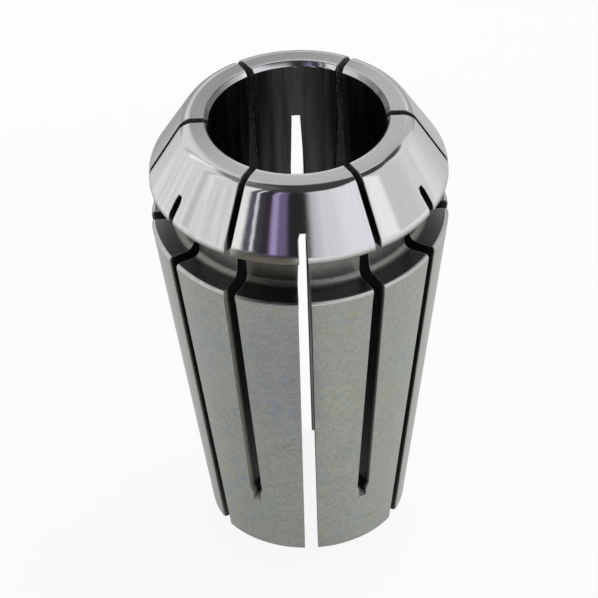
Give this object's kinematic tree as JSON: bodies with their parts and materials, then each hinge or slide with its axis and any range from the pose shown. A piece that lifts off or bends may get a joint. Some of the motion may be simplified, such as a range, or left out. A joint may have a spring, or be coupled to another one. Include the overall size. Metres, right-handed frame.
{
  "type": "er collet",
  "caption": "Slotted spring collet with a long seating taper, nose cone and extraction groove, which closes its bore evenly on a round tool shank.",
  "frame": {"origin": "centre of the rear face, on the axis, with the collet standing on its rear end", "axes": "+Z along the axis towards the nose; a slot that is open at the rear points to -Y"},
  "size_m": [0.017, 0.017, 0.0275],
  "materials": {
    "ground_steel": "hardened spring steel, polished on the nose cone and bore mouth and ground satin on the taper"
  },
  "bodies": {
    "root": {"collet": "ground_steel"}
  },
  "joints": []
}
